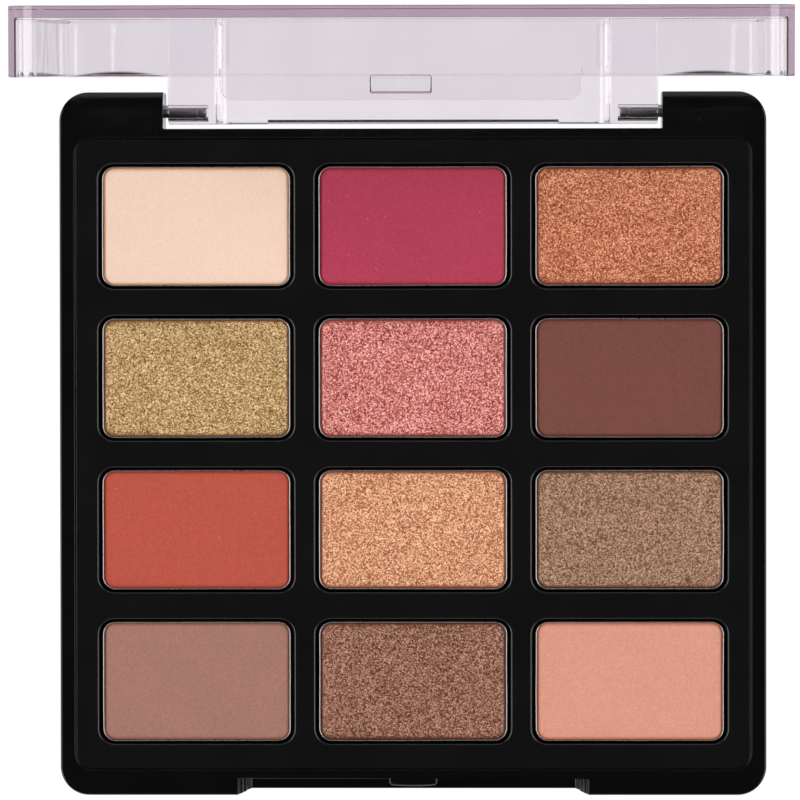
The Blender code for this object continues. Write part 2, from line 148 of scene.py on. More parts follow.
def uprightRod(bm, place, low, high, radius):
    steps = 32
    angles = [2 * math.pi * k / steps for k in range(steps)]
    ring = [(place[0] + radius * math.cos(a), place[1] + radius * math.sin(a)) for a in angles]
    closeRings(bm, [[bm.verts.new((x, y, height)) for x, y in ring] for height in (low, high)])


def arcPoints(centre, radius, start, end, steps):
    angles = [math.radians(start + (end - start) * k / steps) for k in range(steps + 1)]
    return [(centre[0] + radius * math.cos(a), centre[1] + radius * math.sin(a)) for a in angles]


def pieceFrom(bm, name):
    bmesh.ops.recalc_face_normals(bm, faces=bm.faces)
    mesh = bpy.data.meshes.new(name)
    bm.to_mesh(mesh)
    bm.free()
    made = bpy.data.objects.new(name, mesh)
    bpy.context.scene.collection.objects.link(made)
    return made


def settle(piece):
    # keeps the shape that the modifiers give
    bpy.context.view_layer.update()
    graph = bpy.context.evaluated_depsgraph_get()
    shaped = bpy.data.meshes.new_from_object(piece.evaluated_get(graph))
    piece.modifiers.clear()
    before = piece.data
    piece.data = shaped
    shaped.name = piece.name
    bpy.data.meshes.remove(before)


def carve(piece, operation, bm):
    tool = pieceFrom(bm, "tool")
    modifier = piece.modifiers.new("carve", "BOOLEAN")
    modifier.operation = operation
    modifier.solver = "EXACT"
    modifier.object = tool
    settle(piece)
    bpy.data.objects.remove(tool, do_unlink=True)


def softenEdges(piece, width):
    modifier = piece.modifiers.new("soften", "BEVEL")
    modifier.limit_method = "ANGLE"
    modifier.angle_limit = math.radians(35)
    modifier.width = width
    modifier.segments = 3
    modifier.use_clamp_overlap = False
    modifier.miter_outer = "MITER_ARC"
    settle(piece)


def smoothShade(piece, angle=30):
    piece.data.shade_smooth()
    piece.data.set_sharp_from_angle(angle=math.radians(angle))
    evened = piece.modifiers.new("evened", "WEIGHTED_NORMAL")
    evened.keep_sharp = True
    evened.weight = 100


def dress(piece, material, body, slotName, *nodes):
    piece.data.materials.clear()
    piece.data.materials.append(material)
    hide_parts(*nodes)
    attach(piece, body)


def newMaterial(name):
    material = bpy.data.materials.new(name)
    material.use_nodes = True
    return material, material.node_tree, material.node_tree.nodes["Principled BSDF"]


def addNode(tree, kind, values=None, **settings):
    node = tree.nodes.new(kind)
    for key, value in settings.items():
        setattr(node, key, value)
    for key, value in (values or {}).items():
        node.inputs[key].default_value = value
    return node


def link(tree, start, end):
    tree.links.new(start, end)


def objectPlace(tree, shift=(0.0, 0.0, 0.0), stretch=(1.0, 1.0, 1.0)):
    place = addNode(tree, "ShaderNodeTexCoord")
    moved = addNode(tree, "ShaderNodeMapping", {"Location": shift, "Scale": stretch})
    link(tree, place.outputs["Object"], moved.inputs["Vector"])
    return moved.outputs["Vector"]


def noiseAt(tree, place, size, detail=2.0, roughness=0.5):
    node = addNode(tree, "ShaderNodeTexNoise", {"Scale": 1 / size, "Detail": detail, "Roughness": roughness})
    link(tree, place, node.inputs["Vector"])
    return node.outputs["Fac"]


def spread(tree, value, low, high, fromLow=0.0, fromHigh=1.0):
    node = addNode(tree, "ShaderNodeMapRange")
    for key, number in (("From Min", fromLow), ("From Max", fromHigh), ("To Min", low), ("To Max", high)):
        node.inputs[key].default_value = number
    link(tree, value, node.inputs["Value"])
    return node.outputs["Result"]


def mixColours(tree, factor, first, second):
    node = addNode(tree, "ShaderNodeMix", data_type="RGBA")
    for socket, value in ((node.inputs[0], factor), (node.inputs[6], first), (node.inputs[7], second)):
        if isinstance(value, bpy.types.NodeSocket):
            link(tree, value, socket)
        elif isinstance(value, tuple):
            socket.default_value = (*value, 1.0)[:4]
        else:
            socket.default_value = value
    return node.outputs[2]


def combineNumbers(tree, operation, first, second=0.0, third=0.0):
    node = addNode(tree, "ShaderNodeMath", operation=operation)
    for socket, value in zip(node.inputs, (first, second, third)):
        if isinstance(value, bpy.types.NodeSocket):
            link(tree, value, socket)
        else:
            socket.default_value = value
    return node.outputs[0]


def bumpFrom(tree, shader, height, distance, strength=1.0):
    node = addNode(tree, "ShaderNodeBump", {"Strength": strength, "Distance": distance})
    link(tree, height, node.inputs["Height"])
    link(tree, node.outputs["Normal"], shader.inputs["Normal"])


plastic = {
    "caseColour": (0.0016, 0.0016, 0.0017),
    "trayColour": (0.0034, 0.0033, 0.0034),
    "caseRoughness": (0.13, 0.19),
    "trayRoughness": (0.17, 0.24),
    "grain": 0.12 * mm,
    "flow": 9.0 * mm,
}


def blackPlastic(name, colour, roughness):
    material, tree, shader = newMaterial(name)
    place = objectPlace(tree)
    grain = noiseAt(tree, place, plastic["grain"], 3.0)
    flow = noiseAt(tree, place, plastic["flow"], 3.0)
    handled = combineNumbers(tree, "MULTIPLY_ADD", grain, 0.35, combineNumbers(tree, "MULTIPLY", flow, 0.65))
    link(tree, spread(tree, handled, *roughness, 0.3, 0.7), shader.inputs["Roughness"])
    darker = tuple(0.9 * c for c in colour)
    lighter = tuple(1.12 * c for c in colour)
    link(tree, mixColours(tree, flow, darker, lighter), shader.inputs["Base Color"])
    bumpFrom(tree, shader, grain, 0.002 * mm, 0.5)
    return material


case = {
    "corner": 4.0 * mm,
    "topEdge": 0.25 * mm,
    "bottomEdge": 0.5 * mm,
    "floor": 1.4 * mm,
    "trayGap": 0.13 * mm,
    "pocketCorner": 2.35 * mm,
    "pocketFoot": 0.3 * mm,
    "pocketRim": 0.08 * mm,
    "earWidth": 14.4 * mm,
    "recessDepth": 5.1 * mm,
    "cutEdge": 0.07 * mm,
    "notchDepth": 2.3 * mm,
    "ledgeDrop": 3.2 * mm,
    "notchHalf": 22.55 * mm,
    "notchStairs": (  # how far out from the ledge's end, and how far below the rim
        (0.60 * mm, 2.70 * mm),
        (0.63 * mm, 1.20 * mm),
        (1.10 * mm, 1.18 * mm),
        (1.12 * mm, 0.60 * mm),
        (1.60 * mm, 0.58 * mm),
        (1.75 * mm, 0.06 * mm),
    ),
    "notchEnd": 1.85 * mm,
    "ledgeSetback": 0.7 * mm,
    "nubWidth": 6.8 * mm,
    "nubReach": 1.1 * mm,
    "nubHeight": 1.3 * mm,
    "nubBelowRim": 0.5 * mm,
    "nubCrown": 0.16 * mm,
    "nubEdge": 0.3 * mm,
    "nubCorner": 0.6 * mm,
    "bossRadius": 2.2 * mm,
    "socketRadius": 1.3 * mm,
    "bossHeight": 1.2 * mm,
    "boreRadius": 0.945 * mm,
    "boreDepth": 6.5 * mm,
}

recessHalf = caseWidth / 2 - case["earWidth"]
past = 1.0 * mm


def rimFlare(radius, top):
    # the profile of a cutter's mouth that leaves a round edge: it stops just short of level
    return quarter(radius, top - radius, radius, 180, 96, 6)


def wellPlaces():
    for row in range(1, 5):
        for column in range(1, 4):
            low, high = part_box(f"pan_r{row}c{column}")
            yield f"r{row}c{column}", ((low.x + high.x) / 2, (low.y + high.y) / 2), low, high


def pegPlaces():
    return [place for spot, place, low, high in wellPlaces() if spot in ("r1c1", "r1c3", "r4c1", "r4c3")]


def makeBaseCase(material):
    outer = bmesh.new()
    bottom, top = case["bottomEdge"], case["topEdge"]
    profile = quarter(-bottom, caseLow.z + bottom, bottom, -90, 0, 6)
    profile += quarter(-top, caseHigh.z - top, top, 0, 90, 6)
    sweepRings(outer, (caseWidth, caseDepth), case["corner"], profile, steps=16)
    base = pieceFrom(outer, "baseCase")

    recess = bmesh.new()
    recessFront = backY - case["recessDepth"]
    plainBox(recess, (-recessHalf, recessFront, -past), (recessHalf, backY + past, caseHigh.z + past))
    carve(base, "DIFFERENCE", recess)

    # the ears' tops round off about the hinge, so that the lid's skirt swings clear of them
    reach = caseHigh.z - hinge.z
    backReach = backY - hinge.y
    lowest = math.degrees(math.acos((backReach + past / 2) / reach))
    outline = [(0.0, reach + 0.03 * mm), *arcPoints((0, 0), reach, 86, lowest, 14)]
    outline += [(backReach + past, outline[-1][1]), (backReach + past, reach + past), (0.0, reach + past)]
    relief = bmesh.new()
    outline = [(hinge.y + y, hinge.z + z) for y, z in outline]
    prismAlongX(relief, outline, -caseWidth / 2 - past, caseWidth / 2 + past)
    carve(base, "DIFFERENCE", relief)

    ledge = caseHigh.z - case["ledgeDrop"]
    notch = bmesh.new()
    # each end leaves the ledge on a short ramp, then climbs to the top in nearly level steps
    half, end = case["notchHalf"], case["notchEnd"]
    side = [(half, ledge)] + [(half + out, caseHigh.z - below) for out, below in case["notchStairs"]]
    side += [(half + end, caseHigh.z), (half + end, caseHigh.z + past)]
    outline = side + [(-x, z) for x, z in side[::-1]]
    outline = [(x, frontY - past, z) for x, z in outline]
    pushOutline(notch, outline, (0, past + case["notchDepth"], 0))
    carve(base, "DIFFERENCE", notch)

    # below the notch the front stands back, and slants out to full depth at each end
    setback = bmesh.new()
    back = case["ledgeSetback"]
    outline = [(half, back), (-half, back), (-half - end, 0.0), (-half - end, -past)]
    outline += [(half + end, -past), (half + end, 0.0)]
    outline = [(x, frontY + y, -past) for x, y in outline]
    pushOutline(setback, outline, (0, 0, caseHigh.z + 2 * past))
    carve(base, "DIFFERENCE", setback)
    softenEdges(base, case["cutEdge"])

    pocket = bmesh.new()
    trayCentre = (trayLow + trayHigh) / 2
    gap = 2 * case["trayGap"]
    size = (trayHigh.x - trayLow.x + gap, trayHigh.y - trayLow.y + gap)
    rim = case["pocketRim"]
    foot = case["pocketFoot"]
    profile = [(-foot, case["floor"]), (0.0, case["floor"] + foot), *rimFlare(rim, caseHigh.z)]
    profile.append((profile[-1][0], caseHigh.z + past))
    sweepRings(pocket, size, case["pocketCorner"], profile, trayCentre.xy, steps=12)
    carve(base, "DIFFERENCE", pocket)

    bosses = bmesh.new()
    sockets = bmesh.new()
    for place in pegPlaces():
        floor = case["floor"]
        uprightRod(bosses, place, floor - past / 2, floor + case["bossHeight"], case["bossRadius"])
        uprightRod(sockets, place, floor, floor + case["bossHeight"] + past, case["socketRadius"])
    carve(base, "UNION", bosses)
    carve(base, "DIFFERENCE", sockets)

    nub = bmesh.new()
    wall = frontY + case["notchDepth"]
    nubTop = caseHigh.z - case["nubBelowRim"]
    soft = case["nubEdge"]
    profile = quarter(-soft, nubTop - case["nubHeight"] + soft, soft, -90, 0, 5)
    profile += quarter(-soft, nubTop - soft, soft, 0, 90, 5)
    nubSize = (case["nubWidth"], 2 * case["nubReach"])
    sweepRings(nub, nubSize, case["nubCorner"], profile, (0.0, wall), steps=8, sideSteps=12)
    for vert in nub.verts:
        across = vert.co.x / (case["nubWidth"] / 2)
        vert.co.y += case["nubCrown"] * across * across * (vert.co.y < wall)
    carve(base, "UNION", nub)

    for side in (-1, 1):
        bore = bmesh.new()
        start = (side * (recessHalf - past), hinge.y, hinge.z)
        length = case["boreDepth"] + past
        radius = case["boreRadius"]
        turnedAlongX(bore, [(0.0, radius), (length, radius)], start, side, 32)
        carve(base, "DIFFERENCE", bore)
    smoothShade(base)
    dress(base, material, "base", "case_black", "base_case")


tray = {
    "corner": 2.0 * mm,
    "spare": 0.02 * mm,
    "edge": 0.12 * mm,
    "foot": 0.15 * mm,
    "insideEdge": 0.3 * mm,
    "skirt": 1.0 * mm,
    "deck": 1.2 * mm,
    "wellGapSide": 0.47 * mm,
    "wellGapFront": 0.36 * mm,
    "wellCorner": 2.1 * mm,
    "wellEdge": 0.26 * mm,
    "cupWall": 0.5 * mm,
    "cupFloor": 0.8 * mm,
    "cupEdge": 0.4 * mm,
    "pegRadius": 1.25 * mm,
}


def makeTrayInsert(material):
    centre = ((trayLow + trayHigh) / 2).xy
    size = (trayHigh.x - trayLow.x, trayHigh.y - trayLow.y)
    slab = bmesh.new()
    edge = tray["edge"]
    size = tuple(side + 2 * tray["spare"] for side in size)
    foot = tray["foot"]
    profile = [(-foot, trayLow.z), (0.0, trayLow.z + foot)]
    profile += quarter(-edge, trayHigh.z - edge, edge, 0, 90, 6)
    sweepRings(slab, size, tray["corner"], profile, centre, steps=12)
    insert = pieceFrom(slab, "trayInsert")

    hollow = bmesh.new()
    ceiling = trayHigh.z - tray["deck"]
    inner = tuple(side - 2 * tray["skirt"] for side in size)
    inside = tray["insideEdge"]
    profile = [(0.0, trayLow.z - past), (0.0, ceiling - inside), (-inside, ceiling)]
    sweepRings(hollow, inner, tray["corner"] - tray["skirt"], profile, centre, steps=8)
    carve(insert, "DIFFERENCE", hollow)

    cups = bmesh.new()
    wells = bmesh.new()
    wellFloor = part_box("pan_glue_r1c1")[0].z - 0.05 * mm
    cupBottom = wellFloor - tray["cupFloor"]
    for spot, place, low, high in wellPlaces():
        well = (high.x - low.x + 2 * tray["wellGapSide"], high.y - low.y + 2 * tray["wellGapFront"])
        cup = tuple(side + 2 * tray["cupWall"] for side in well)
        cupFoot = tray["cupEdge"]
        profile = [(-cupFoot, cupBottom), (0.0, cupBottom + cupFoot), (0.0, trayHigh.z - tray["deck"] / 2)]
        sweepRings(cups, cup, tray["wellCorner"] + tray["cupWall"], profile, place, steps=6)
        profile = quarter(-inside, wellFloor + inside, inside, -90, 0, 4)
        profile += rimFlare(tray["wellEdge"], trayHigh.z)
        profile.append((profile[-1][0], trayHigh.z + past))
        sweepRings(wells, well, tray["wellCorner"], profile, place, steps=12)
    carve(insert, "UNION", cups)
    carve(insert, "DIFFERENCE", wells)

    pegs = bmesh.new()
    for place in pegPlaces():
        uprightRod(pegs, place, trayLow.z, cupBottom + tray["cupFloor"] / 2, tray["pegRadius"])
    carve(insert, "UNION", pegs)
    smoothShade(insert)
    dress(insert, material, "base", "tray_black", "tray_insert")


pan = {
    "corner": 1.75 * mm,
    "wall": 0.16 * mm,
    "floor": 0.3 * mm,
    "bottomEdge": 0.6 * mm,
    "rimWaver": 0.03 * mm,
    "colour": (0.52, 0.51, 0.50),
}


def panMetal():
    material, tree, shader = newMaterial("panMetal")
    shader.inputs["Metallic"].default_value = 1.0
    place = objectPlace(tree)
    drawn = noiseAt(tree, objectPlace(tree, stretch=(1.0, 1.0, 0.15)), 0.25 * mm, 4.0)
    dulled = noiseAt(tree, place, 3.0 * mm, 2.0)
    darker = tuple(0.75 * c for c in pan["colour"])
    link(tree, mixColours(tree, dulled, darker, pan["colour"]), shader.inputs["Base Color"])
    link(tree, spread(tree, drawn, 0.22, 0.42, 0.3, 0.7), shader.inputs["Roughness"])
    bumpFrom(tree, shader, drawn, 0.004 * mm, 0.4)
    return material


def makePan(spot, place, low, high, material, seed):
    size = (high.x - low.x, high.y - low.y)
    half = pan["wall"] / 2
    bottom = pan["bottomEdge"]
    profile = quarter(-bottom, low.z + bottom, bottom, -90, 0, 5)
    profile += quarter(-half, high.z - half, half, 0, 180, 8)
    inner = -pan["wall"]
    floor = low.z + pan["floor"]
    profile += [(inner, floor + 0.03 * mm), (inner - 0.03 * mm, floor)]
    bm = bmesh.new()
    rings = sweepRings(bm, size, pan["corner"], profile, place, steps=10, sideSteps=14)
    # thin metal is never quite straight, so the rim wavers a little
    chance = np.random.default_rng(seed)
    phases = chance.uniform(0, 2 * math.pi, 8)
    swings = chance.uniform(0.4, 1.0, 8) * pan["rimWaver"] / 2
    count = len(rings[0])
    for ring in rings:
        for k, vert in enumerate(ring):
            turn = 2 * math.pi * k / count
            lift = sum(s * math.sin((n + 2) * turn + p) for n, (s, p) in enumerate(zip(swings, phases)))
            share = max(0.0, (vert.co.z - low.z) / (high.z - low.z)) ** 3
            outwards = Vector((vert.co.x - place[0], vert.co.y - place[1])).normalized()
            vert.co.x += 0.6 * lift * share * outwards.x
            vert.co.y += 0.6 * lift * share * outwards.y
            vert.co.z += min(lift, 0.0) * share
    made = pieceFrom(bm, f"pan_{spot}_metal")
    smoothShade(made)
    dress(made, material, "base", "pan_metal", f"pan_{spot}")


# "shade" is each powder's look in screen colours; "swing" is how far a matte's grains stray from it, and the
# shimmers' other number how far their flecks do, partly as painted glints
powders = {
    "r1c1": {"kind": "matte", "shade": (1.0, 0.857, 0.772), "swing": 0.06},
    "r1c2": {"kind": "matte", "shade": (0.720, 0.249, 0.349), "speck": (0.85, 0.50, 0.42)},
    "r1c3": {"kind": "shimmer", "shade": (0.760, 0.443, 0.293), "fleckAndGlint": 0.27},
    "r2c1": {"kind": "shimmer", "shade": (0.707, 0.565, 0.355), "fleckAndGlint": 0.28},
    "r2c2": {"kind": "shimmer", "shade": (0.797, 0.435, 0.400), "fleckAndGlint": 0.33},
    "r2c3": {"kind": "matte", "shade": (0.474, 0.288, 0.254)},
    "r3c1": {"kind": "matte", "shade": (0.737, 0.335, 0.270), "speck": (0.80, 0.50, 0.45)},
    "r3c2": {"kind": "shimmer", "shade": (0.838, 0.568, 0.410), "fleckAndGlint": 0.28},
    "r3c3": {"kind": "shimmer", "shade": (0.592, 0.434, 0.326), "fleckAndGlint": 0.23},
    "r4c1": {"kind": "matte", "shade": (0.653, 0.472, 0.420)},
    "r4c2": {"kind": "shimmer", "shade": (0.540, 0.347, 0.253), "fleckAndGlint": 0.27},
    "r4c3": {"kind": "matte", "shade": (0.875, 0.612, 0.529), "speck": (0.80, 0.45, 0.36), "swing": 0.09},
}

powder = {
    "corner": 1.46 * mm,
    "matteShoulder": 0.58 * mm,
    "shimmerShoulder": 0.75 * mm,
    "shoulderDrop": 0.26 * mm,
    "shimmerGrain": 0.15 * mm,
    "shimmerHeight": 0.020 * mm,
    "shimmerFleck": 0.15 * mm,
    "matteGrain": 0.42 * mm,
    "matteHeight": 0.0022 * mm,
    "matteFleck": 0.16 * mm,
    "matteSwing": 0.13,
    "swell": 0.008 * mm,
    "weave": 6.2 * mm,
    "speckSpacing": 1.3 * mm,
    "speckSize": 0.085,
    "speckShare": 0.22,
    "overWall": 0.09 * mm,
}


def matteMaterial(spot, look, seed, flatZ):
    material, tree, shader = newMaterial(f"powder_{spot}_matte")
    shade = linear(look["shade"])
    place = objectPlace(tree, (0.013 * seed, 0.007 * seed, 0.0))
    soft = noiseAt(tree, place, 6.0 * mm, 2.0)
    cells = addNode(tree, "ShaderNodeTexVoronoi", {"Scale": 1 / powder["matteFleck"]}, feature="F1")
    link(tree, place, cells.inputs["Vector"])
    parted = addNode(tree, "ShaderNodeSeparateColor")
    link(tree, cells.outputs["Color"], parted.inputs["Color"])
    fine = parted.outputs["Green"]
    swing = look.get("swing", powder["matteSwing"])
    bright = tuple(min(1.0, (1 + swing) * c) for c in shade)
    dull = tuple((1 - swing) * c for c in shade)
    mixed = combineNumbers(tree, "ADD", fine, spread(tree, soft, -0.09, 0.09, 0.3, 0.7))
    grainy = mixColours(tree, mixed, dull, bright)
    # the ribbon that the cake was pressed under leaves a faint weave
    weave = None
    for axis in ("X", "Y"):
        values = {"Scale": 1 / powder["weave"], "Distortion": 1.2, "Detail": 1.0}
        wave = addNode(tree, "ShaderNodeTexWave", values)
        wave.bands_direction = axis
        link(tree, place, wave.inputs["Vector"])
        value = wave.outputs["Fac"]
        weave = value if weave is None else combineNumbers(tree, "MULTIPLY", weave, value)
    coloured = mixColours(tree, spread(tree, weave, 0.0, 0.22), grainy, tuple(0.93 * c for c in shade))
    if "speck" in look:
        cells = addNode(tree, "ShaderNodeTexVoronoi", {"Scale": 1 / powder["speckSpacing"]}, feature="F1")
        link(tree, place, cells.inputs["Vector"])
        near = combineNumbers(tree, "LESS_THAN", cells.outputs["Distance"], powder["speckSize"])
        parted = addNode(tree, "ShaderNodeSeparateColor")
        link(tree, cells.outputs["Color"], parted.inputs["Color"])
        chosen = combineNumbers(tree, "LESS_THAN", parted.outputs["Red"], powder["speckShare"])
        mask = combineNumbers(tree, "MULTIPLY", combineNumbers(tree, "MULTIPLY", near, chosen), 0.7)
        coloured = mixColours(tree, mask, coloured, linear(look["speck"]))
    # the sloping shoulder takes a deeper, more saturated colour: partly the unburnished powder's own richer
    # tone, partly painted shade
    deep = tuple(c * f for c, f in zip(shade, (0.84, 0.60, 0.42)))
    edge = shoulderShade(tree, flatZ)
    link(tree, mixColours(tree, edge, deep, coloured), shader.inputs["Base Color"])
    shader.inputs["Roughness"].default_value = 0.9
    shader.inputs["Specular IOR Level"].default_value = 0.25
    bumpFrom(tree, shader, combineNumbers(tree, "ADD", fine, weave), 0.004 * mm, 0.5)
    return material


def shoulderShade(tree, flatZ):
    # mask for the painted shade: 0 down on the cake's sloping shoulder, 1 on its flat top
    place = addNode(tree, "ShaderNodeTexCoord")
    parted = addNode(tree, "ShaderNodeSeparateXYZ")
    link(tree, place.outputs["Object"], parted.inputs["Vector"])
    drop = powder["shoulderDrop"]
    return spread(tree, parted.outputs["Z"], 0.0, 1.0, flatZ - 0.7 * drop, flatZ - 0.04 * drop)


def shimmerMaterial(spot, look, seed, flatZ):
    material, tree, shader = newMaterial(f"powder_{spot}_shimmer")
    place = objectPlace(tree, (0.011 * seed, 0.017 * seed, 0.0))
    flakes = addNode(tree, "ShaderNodeTexVoronoi", {"Scale": 1 / powder["shimmerFleck"]}, feature="F1")
    link(tree, place, flakes.inputs["Vector"])
    parted = addNode(tree, "ShaderNodeSeparateColor")
    link(tree, flakes.outputs["Color"], parted.inputs["Color"])
    cloud = noiseAt(tree, place, 4.0 * mm, 3.0, 0.6)
    mixed = combineNumbers(tree, "ADD", parted.outputs["Red"], spread(tree, cloud, -0.05, 0.05, 0.3, 0.7))
    ramp = addNode(tree, "ShaderNodeValToRGB")
    link(tree, mixed, ramp.inputs["Fac"])
    stops = ramp.color_ramp.elements
    stops[0].position, stops[1].position = 0.04, 0.96
    middle = [stops.new(0.27), stops.new(0.5), stops.new(0.73)]
    # flecks painted lighter and darker about the shade: partly their own mixed colours, partly painted glints
    for share, stop in zip((-1, -0.5, 0, 0.5, 1), (stops[0], *middle, stops[4])):
        screen = (min(1.0, max(0.02, c + share * look["fleckAndGlint"])) for c in look["shade"])
        stop.color = (*linear(tuple(screen)), 1.0)
    # the sloping shoulder is painted much darker: partly the unburnished powder's own richer tone, partly
    # painted shade
    deep = tuple(c * f for c, f in zip(linear(look["shade"]), (0.50, 0.30, 0.24)))
    edge = shoulderShade(tree, flatZ)
    link(tree, mixColours(tree, edge, deep, ramp.outputs["Color"]), shader.inputs["Base Color"])
    shader.inputs["Metallic"].default_value = 0.25
    shader.inputs["Roughness"].default_value = 0.5
    bumpFrom(tree, shader, flakes.outputs["Distance"], 0.03 * mm, 0.3)
    return material


def makePowder(spot, place, material, seed):
    look = powders[spot]
    shimmer = look["kind"] == "shimmer"
    low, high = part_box(f"powder_{spot}")
    halfX, halfY = (high.x - low.x) / 2 + powder["overWall"], (high.y - low.y) / 2 + powder["overWall"]
    grain = powder["shimmerGrain"] if shimmer else powder["matteGrain"]
    shoulder, corner = powder["shimmerShoulder" if shimmer else "matteShoulder"], powder["corner"]
    xs, ys = axisSteps(halfX, shoulder, grain), axisSteps(halfY, shoulder, grain)
    x, y = np.meshgrid(xs, ys, indexing="ij")

    # pull the square grid's corners round
    overX = np.clip((np.abs(x) - (halfX - corner)) / corner, 0, 1)
    overY = np.clip((np.abs(y) - (halfY - corner)) / corner, 0, 1)
    roundX = overX * np.sqrt(1 - overY**2 / 2)
    roundY = overY * np.sqrt(1 - overX**2 / 2)
    x = np.where(overX > 0, np.sign(x) * (halfX - corner + corner * roundX), x)
    y = np.where(overY > 0, np.sign(y) * (halfY - corner + corner * roundY), y)

    # distance in from the rim, measured round the corners
    pastX, pastY = np.abs(x) - (halfX - corner), np.abs(y) - (halfY - corner)
    outside = np.hypot(np.maximum(pastX, 0), np.maximum(pastY, 0))
    inwards = corner - outside - np.minimum(np.maximum(pastX, pastY), 0)
    sink = np.clip(1 - inwards / shoulder, 0, 1)
    drop = powder["shoulderDrop"] * sink**1.6
    flat = np.clip(inwards / shoulder, 0, 1)

    chance = np.random.default_rng(seed)
    rough = chance.normal(0, 1, x.shape)
    height = powder["shimmerHeight"] if shimmer else powder["matteHeight"]
    waves = sum(
        np.sin(chance.uniform(150, 520) * x + chance.uniform(150, 520) * y + chance.uniform(0, 6.28))
        for _ in range(5)
    )
    lift = height * np.clip(rough, -2, 2) * (0.35 + 0.65 * flat)
    z = high.z - 2.2 * height - powder["swell"] - drop + lift + powder["swell"] * waves / 5 * flat

    bm = bmesh.new()
    grid = [
        [bm.verts.new((x[i, j] + place[0], y[i, j] + place[1], z[i, j])) for j in range(len(ys))]
        for i in range(len(xs))
    ]
    for i in range(len(xs) - 1):
        for j in range(len(ys) - 1):
            bm.faces.new((grid[i][j], grid[i + 1][j], grid[i + 1][j + 1], grid[i][j + 1]))
    rim = [grid[i][0] for i in range(len(xs))]
    rim += [grid[-1][j] for j in range(1, len(ys))]
    rim += [grid[i][-1] for i in range(len(xs) - 2, -1, -1)]
    rim += [grid[0][j] for j in range(len(ys) - 2, 0, -1)]
    foot = [bm.verts.new((v.co.x, v.co.y, low.z)) for v in rim]
    for k in range(len(rim)):
        after = (k + 1) % len(rim)
        bm.faces.new((rim[k], foot[k], foot[after], rim[after]))
    bm.faces.new(foot[::-1])
    made = pieceFrom(bm, f"powder_{spot}_cake")
    if not shimmer:
        made.data.shade_smooth()
        made.data.set_sharp_from_angle(angle=math.radians(50))
    dress(made, material, "base", f"powder_{spot}", f"powder_{spot}")


def axisSteps(half, shoulder, grain):
    # even steps across the middle, and finer ones on the two shoulders
    count = max(4, round(2 * (half - shoulder) / grain))
    middle = np.linspace(shoulder - half, half - shoulder, count + 1)
    slope = half - shoulder * (1 - np.sin(np.linspace(0, math.pi / 2, 6)))
    return np.concatenate([-slope[:0:-1], middle, slope[1:]])


glue = {
    "dark": (0.62, 0.52, 0.36),
    "light": (0.80, 0.74, 0.60),
    "roughness": (0.25, 0.5),
}


def makeGlueLook():
    material, tree, shader = newMaterial("glueClear")
    cloudy = noiseAt(tree, objectPlace(tree), 1.5 * mm, 3.0)
    link(tree, mixColours(tree, cloudy, glue["dark"], glue["light"]), shader.inputs["Base Color"])
    link(tree, spread(tree, cloudy, *glue["roughness"]), shader.inputs["Roughness"])
    shader.inputs["Subsurface Weight"].default_value = 0.2
    shader.inputs["Subsurface Scale"].default_value = 0.3 * mm
    for name, node in frame["nodes"].items():
        if name.startswith("pan_glue"):
            node.data.materials.clear()
            node.data.materials.append(material)


lid = {
    "height": 9.0 * mm,
    "panel": 1.5 * mm,
    "skirt": 0.94 * mm,
    "edge": 0.08 * mm,
    "innerEdge": 0.3 * mm,
    "innerCorner": 1.6 * mm,
    "rimEdge": 0.15 * mm,
    "partingGap": 0.1 * mm,
    "lobeHalf": 34.1 * mm,
    "knuckleWidth": 6.7 * mm,
    "knuckleRadius": 1.8 * mm,
    "knuckleFillet": 1.8 * mm,
    "knuckleEdge": 0.28 * mm,
    "filletSink": 0.4 * mm,
    "filletLift": 0.12 * mm,
    "lobeInset": 0.1 * mm,
    "lobeWall": 1.3 * mm,
    "grooveHalf": 20.3 * mm,
    "grooveDepth": 0.5 * mm,
    "grooveHeight": 0.56 * mm,
    "grooveFoot": 0.04 * mm,
    "grooveOver": 0.08 * mm,
    "grooveTaper": 0.05 * mm,
    "heelRadius": 1.0 * mm,
    "boreRadius": 0.975 * mm,
    "boreDepth": 5.6 * mm,
    "lipHalf": 22.5 * mm,
    "lipDrop": 2.9 * mm,
    "lipThickness": 1.0 * mm,
    "lipInset": 0.05 * mm,
    "lipCorner": 1.8 * mm,
    "lipEdge": 0.12 * mm,
    "catchHalf": 3.85 * mm,
    "catchHeight": 2.1 * mm,
    "catchAbove": 0.3 * mm,
    "catchDepth": 0.4 * mm,
    "catchEdge": 0.3 * mm,
    "surfaceTint": (0.995, 0.975, 0.995),
    "depthTint": (0.49, 0.28, 0.43),
    "depthTintStrength": 12.0,
    "waviness": 0.016 * mm,
    "endTurn": 6.5,  # degrees outwards that the shading leans at the walls' front ends
}


def clearPlastic():
    material, tree, shader = newMaterial("lidClear")
    shader.inputs["Base Color"].default_value = (*lid["surfaceTint"], 1.0)
    shader.inputs["Transmission Weight"].default_value = 1.0
    shader.inputs["IOR"].default_value = 1.57
    place = objectPlace(tree)
    haze = noiseAt(tree, place, 7.0 * mm, 3.0)
    link(tree, spread(tree, haze, 0.0, 0.03, 0.35, 0.75), shader.inputs["Roughness"])
    waves = noiseAt(tree, place, 9.0 * mm, 1.0)
    bumpFrom(tree, shader, waves, lid["waviness"])
    absorb = addNode(tree, "ShaderNodeVolumeAbsorption", {"Density": lid["depthTintStrength"]})
    absorb.inputs["Color"].default_value = (*lid["depthTint"], 1.0)
    link(tree, absorb.outputs["Volume"], tree.nodes["Material Output"].inputs["Volume"])
    return material


def lobeOutline(top, front):
    back = backY - lid["lobeInset"]
    heel = lid["heelRadius"]
    low = hinge.z - lid["knuckleRadius"]
    return [(back, top), *arcPoints((back - heel, low + heel), heel, 0, -90, 10), *front, (front[-1][0], top)]


